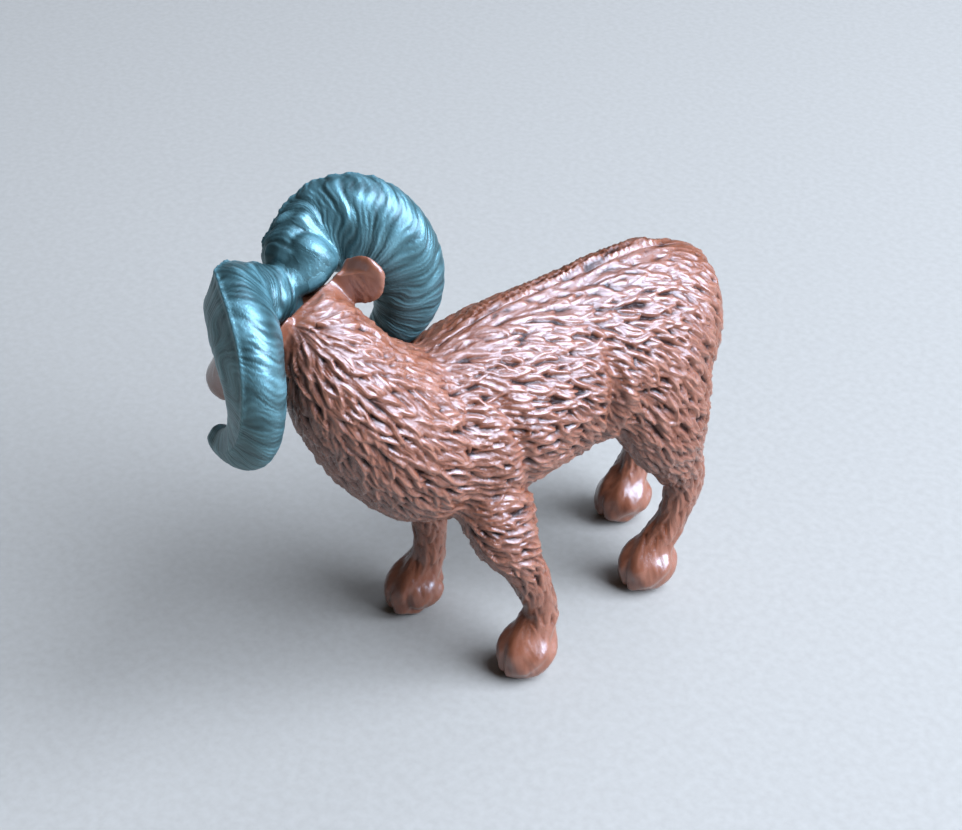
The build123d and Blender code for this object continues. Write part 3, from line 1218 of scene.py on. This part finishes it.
@dataclass
class HornPair:
    """Both horns and the bridge between them, one moulding.

    Attributes:
        head: How the head is carried.
        ring_gap: From one growth ring to the next near the root, in millimetres.
        ring_height: How far the rings stand out, in millimetres.
        line_height: How far the edge line stands out, in millimetres.
        voxel: The grid size of the fused surface, in millimetres.
        steps: How many sections each horn has.
        around: How many points each section has.
    """

    head: HeadPose
    ring_gap: float = 1.0
    ring_height: float = 0.26
    line_height: float = 0.26
    voxel: float = 0.125
    steps: int = 420
    around: int = 120

    PLACES = (
        HornPlace(Side.RIGHT, 29.4, -19.0, 4.94, 4.66, 2.09, 50.0, 259.8, 1.0),
        HornPlace(Side.LEFT, 32.9, -1.9, 4.27, 4.81, 2.08, 48.6, 264.6, 0.6),
    )
    # Share along the horn and: curl radius, advance, half thickness, half breadth
    CURL = ((0.0, 2.8), (0.18, 3.55), (0.5, 5.7), (1.0, 7.4))
    ADVANCE = ((0.0, -3.3), (0.18, -0.1), (0.4, 0.25), (0.7, 1.6), (1.0, 3.9))
    THICK = ((0.0, 2.2), (0.18, 3.5), (0.4, 4.3), (0.75, 2.6), (1.0, 1.05))
    BROAD = ((0.0, 2.4), (0.18, 2.45), (0.4, 2.6), (0.75, 1.8), (1.0, 1.05))
    # The bridge between the roots in the head's level frame: place and half thickness
    BRIDGE = (
        (-3.3, -3.9, 1.5, 2.2),
        (-2.2, -3.9, 1.0, 1.95),
        (-0.6, -4.2, 0.8, 1.5),
        (1.2, -4.7, 0.8, 1.45),
        (2.6, -5.1, 0.6, 1.7),
    )
    # Share along the horn and where its edge line runs round the section, in degrees
    KEEL = ((0.0, 18.0), (0.3, 20.0), (0.5, 30.0), (0.75, 75.0), (1.0, 110.0))

    def along(self, table: tuple, share: np.ndarray) -> np.ndarray:
        """A table's value along the horn, with its corners rounded.

        Args:
            table: Shares and values.
            share: Where to read it.

        Returns:
            The values.
        """
        near = [np.interp(share + d, *np.array(table).T) for d in np.linspace(-0.06, 0.06, 13)]
        return np.mean(near, axis=0)

    def horn(self, place: HornPlace) -> tuple[Shell, np.ndarray, np.ndarray]:
        """One horn with its growth rings, in the head's level frame.

        Args:
            place: How it stands.

        Returns:
            The shell, and for each of its ring points the relief and the distance along.
        """
        chance = np.random.default_rng(SEED + place.side.value + 1)
        share = np.linspace(0, 1, self.steps)
        turned = np.radians(place.first + (place.last - place.first) * share)
        curl = self.along(self.CURL, share)
        line = np.stack([curl * np.cos(turned), curl * np.sin(turned), self.along(self.ADVANCE, share)], 1)
        course = np.gradient(line, axis=0)
        run = np.concatenate([[0], np.cumsum(np.linalg.norm(np.diff(line, axis=0), axis=1))])
        course /= np.linalg.norm(course, axis=1, keepdims=True)
        radial = line * np.array([1, 1, 0])
        radial -= course * (radial * course).sum(1)[:, None]
        radial /= np.linalg.norm(radial, axis=1, keepdims=True)
        axial = np.cross(course, radial)
        axial *= np.sign(axial[:, 2:])
        half_thick = self.along(self.THICK, share)[:, None]
        half_broad = self.along(self.BROAD, share)[:, None]
        keel = np.radians(self.along(self.KEEL, share))[:, None]
        angle = np.linspace(0, 2 * np.pi, self.around, endpoint=False)[None]
        # rings lean along the horn on its outer side, and break up near the base
        wander = sum(
            chance.normal(0, 0.16) * np.cos(i * angle + j * run[:, None] * 0.9 + chance.uniform(0, 6))
            for i in range(1, 6)
            for j in range(1, 4)
        )
        lean = 0.55 * np.cos(angle - keel) + 0.2 * np.sin(2 * angle) + 0.35 * wander
        marks = np.cumsum(chance.uniform(0.5, 1.5, 70) * self.ring_gap * np.linspace(1.1, 0.55, 70)) - 2.0
        where = run[:, None] + lean * (half_thick / 3.5)
        spot = np.searchsorted(marks, where.ravel()).reshape(where.shape)
        low, high = marks[np.clip(spot - 1, 0, 69)], marks[np.clip(spot, 0, 69)]
        between = np.clip((where - low) / np.maximum(high - low, 1e-6), 0, 1)
        patches = chance.uniform(0.15, 1.25, (72, 19))
        patches[:, -1] = patches[:, 0]
        sector = np.broadcast_to(angle / (2 * np.pi) * 18, where.shape)
        share_on = sector - np.floor(sector)
        share_on = share_on * share_on * (3 - 2 * share_on)
        ring, cell = np.clip(spot, 0, 70), np.floor(sector).astype(int)
        strength = patches[ring, cell] * (1 - share_on) + patches[ring, cell + 1] * share_on
        calm = step(np.broadcast_to(share[:, None], where.shape), 0.35, 0.8)
        strength = strength * (1 - calm) + 0.75 * calm
        broken = np.clip(0.85 + 0.4 * np.roll(wander, 17, axis=1), 0.3, 1.3)
        crest = np.sin(np.pi * between**0.7) ** 0.8 * strength * broken
        wrinkle = 0.16 * np.sin(where * 2 * np.pi / 0.36 + 3 * np.sin(3 * angle))
        # relief shapes the rings and also sets their colour: the material paints the grooves as shade and the crests
        # as highlight.
        relief = crest + wrinkle
        fading = np.interp(share, (0.0, 0.25, 0.5, 0.75, 1.0), (1.3, 0.95, 0.55, 0.45, 0.3))[:, None]
        swell = self.ring_height * place.ringed * (relief - 0.55) * fading
        turn = (angle - keel + np.pi) % (2 * np.pi) - np.pi
        line_up = self.line_height * np.exp(-((turn / 0.055) ** 2)) * np.clip(1.6 - 1.6 * share[:, None], 0, 1)
        flat = 1 - 0.09 * np.exp(-(((turn - 0.55) / 0.40) ** 2)) + 0.03 * np.exp(-((turn / 0.25) ** 2))
        tame = 1 - 0.6 * np.exp(-(((turn - 0.60) / 0.45) ** 2))
        out = (swell * tame + line_up)[..., None]
        shape = np.cos(angle)[..., None] * radial[:, None] * half_thick[..., None]
        shape = (shape + np.sin(angle)[..., None] * axial[:, None] * half_broad[..., None]) * flat[..., None]
        rings = line[:, None] + shape * (1 + out / np.linalg.norm(shape, axis=2, keepdims=True))
        caps = ((0.90, 0.40), (0.66, 0.75), (0.34, 0.95))
        tip = [line[-1] + (rings[-1] - line[-1]) * c + course[-1] * d * half_thick[-1] for c, d in caps]
        root = [line[0] + (rings[0] - line[0]) * c - course[0] * d * 1.6 for c, d in caps[::-1]]
        rings = np.concatenate([np.array(root), rings, np.array(tip)])
        pad = ((3, 3), (0, 0))
        shell = tube(rings).moved(place.spiral())
        if place.side is Side.LEFT:
            shell = Shell(shell.points * np.array([-1, 1, 1]), [face[::-1] for face in shell.faces])
        # The edge line is given full relief, so the material paints it in the crest colour as a thin painted
        # highlight.
        relief = np.maximum(relief, 1.5 * line_up / self.line_height)
        return shell, np.pad(np.clip(relief, 0, 1.2), pad, mode="edge"), np.pad(where, pad, mode="edge")

    def build(self, stand: Stand, plastic: bpy.types.Material) -> bpy.types.Object:
        """Makes the pair.

        Args:
            stand: Where the design frame lies.
            plastic: The horns' plastic.

        Returns:
            The piece.
        """
        shells, values, distances = [], [], []
        for place in self.PLACES:
            shell, relief, where = self.horn(place)
            shells.append(shell)
            values.append(relief.ravel())
            distances.append(where.ravel())
        bridge = limb([Ring((x, y, z), half, half) for x, y, z, half in self.BRIDGE], across=(0, 1, 0))
        start, down = Vector((0, -4.3, 0.4)), Vector((0, 0.1, -1)).normalized()
        tenon = limb([Ring(tuple(start), 1.3, 1.3), Ring(tuple(start + down * 4.6), 1.3, 1.3)], blunt=0.2)
        skin = Skin.around([*shells, bridge, tenon], self.voxel)
        skin.smoothed(2)
        route = np.array(self.BRIDGE)
        nearness = np.min([np.linalg.norm(skin.points - row[:3], axis=1) / row[3] for row in route], axis=0)
        skin.smoothed(14, 1 - step(nearness, 1.1, 1.7))
        ringed = np.vstack([shell.points[:-2] for shell in shells])
        tree = kdtree.KDTree(len(ringed))
        for i, point in enumerate(ringed):
            tree.insert(point, i)
        tree.balance()
        hits = [tree.find(point)[1] for point in skin.points]
        marks = {
            "relief": np.clip(np.concatenate(values)[hits], 0, 1),
            "strand": np.concatenate(distances)[hits],
        }
        placed = skin.shell().moved(self.head.level())
        made = stand.piece("horn_pair_ringed", placed.points, skin.quads, marks)
        made.data.materials.append(plastic)
        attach(made, "root")
        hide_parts("horn_pair")
        LOG.info("%s: %d faces", made.name, len(made.data.polygons))
        return made


# ---------------------------------------------------------------- studio


@dataclass
class Studio:
    """Floor, soft lights and camera.

    Attributes:
        azimuth: The camera's direction round the figure, in degrees.
        elevation: The camera's height over the horizon, in degrees.
        distance: From the camera to what it looks at, in metres.
        lens: Focal length for a 36 mm sensor, in millimetres.
        aim: What it looks at, from the design origin, in millimetres.
        tall: A light panel's height as a share of its width.
        room_colour: The colour of the light from all round, as sRGB hex.
        room_light: How strong that light is.
    """

    azimuth: float = 52.0
    elevation: float = 36.0
    distance: float = 0.170
    lens: float = 70.7
    aim: tuple[float, float, float] = (-9.85, -0.41, 15.0)
    tall: float = 1.5
    room_colour: str = "C8C4BE"
    room_light: float = 0.12

    def camera(self, stand: Stand) -> None:
        """Makes the camera and hands it to the scene.

        Args:
            stand: Where the design frame lies.
        """
        a, e = math.radians(self.azimuth), math.radians(self.elevation)
        back = Vector((math.sin(a) * math.cos(e), -math.cos(a) * math.cos(e), math.sin(e)))
        data = bpy.data.cameras.new("camera")
        data.lens = self.lens
        data.sensor_width = 36.0
        data.clip_start, data.clip_end = 0.005, 10.0
        made = bpy.data.objects.new("camera", data)
        made.location = Vector(stand.offset()) + Vector(self.aim) * MM + back * self.distance
        made.rotation_mode = "QUATERNION"
        made.rotation_quaternion = (-back).to_track_quat("-Z", "Y")
        bpy.context.scene.collection.objects.link(made)
        bpy.context.scene.camera = made

    def floor(self) -> None:
        """Lays the floor."""
        half = 1.2
        mesh = bpy.data.meshes.new("floor")
        mesh.from_pydata([(-half, -half, 0), (half, -half, 0), (half, half, 0), (-half, half, 0)], [], [(0, 1, 2, 3)])
        mesh.materials.append(PaleFloor().build())
        made = bpy.data.objects.new("floor", mesh)
        bpy.context.scene.collection.objects.link(made)

    def light(
        self, name: str, azimuth: float, elevation: float, away: float, size: float, watts: float, code: str
    ) -> None:
        """Hangs one soft panel light that faces the figure.

        Args:
            name: The light's name.
            azimuth: Its direction round the figure, in degrees, as the camera's.
            elevation: Its height over the horizon, in degrees.
            away: Its distance, in metres.
            size: Its width, in metres.
            watts: Its power.
            code: Its colour, as sRGB hex.
        """
        a, e = math.radians(azimuth), math.radians(elevation)
        back = Vector((math.sin(a) * math.cos(e), -math.cos(a) * math.cos(e), math.sin(e)))
        data = bpy.data.lights.new(name, "AREA")
        data.shape = "RECTANGLE"
        data.size, data.size_y = size, size * self.tall
        data.energy = watts
        data.color = linear(code)[:3]
        made = bpy.data.objects.new(name, data)
        made.location = Vector((0, 0, 0.02)) + back * away
        made.rotation_mode = "QUATERNION"
        made.rotation_quaternion = (-back).to_track_quat("-Z", "Y")
        bpy.context.scene.collection.objects.link(made)

    def build(self, stand: Stand) -> None:
        """Sets up the whole studio.

        Args:
            stand: Where the design frame lies.
        """
        self.camera(stand)
        self.floor()
        self.light("window", 122, 40, 0.60, 0.50, 27.0, "C8E0FF")
        self.light("sky", 200, 60, 0.60, 0.40, 2.2, "C8E0FF")
        world = bpy.data.worlds.new("room")
        world.use_nodes = True
        glow = world.node_tree.nodes["Background"]
        glow.inputs["Color"].default_value = linear(self.room_colour)
        glow.inputs["Strength"].default_value = self.room_light
        bpy.context.scene.world = world
        bpy.context.scene.view_settings.view_transform = "Standard"


def main() -> None:
    """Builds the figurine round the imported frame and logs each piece."""
    logging.basicConfig(level=logging.INFO, format="%(message)s")
    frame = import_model()
    stand = Stand(frame)
    head = HeadPose()
    Studio().build(stand)
    Body(head).build(stand, CopperPlastic().build())
    HornPair(head).build(stand, SlatePlastic().build())


if __name__ == "__main__":
    main()
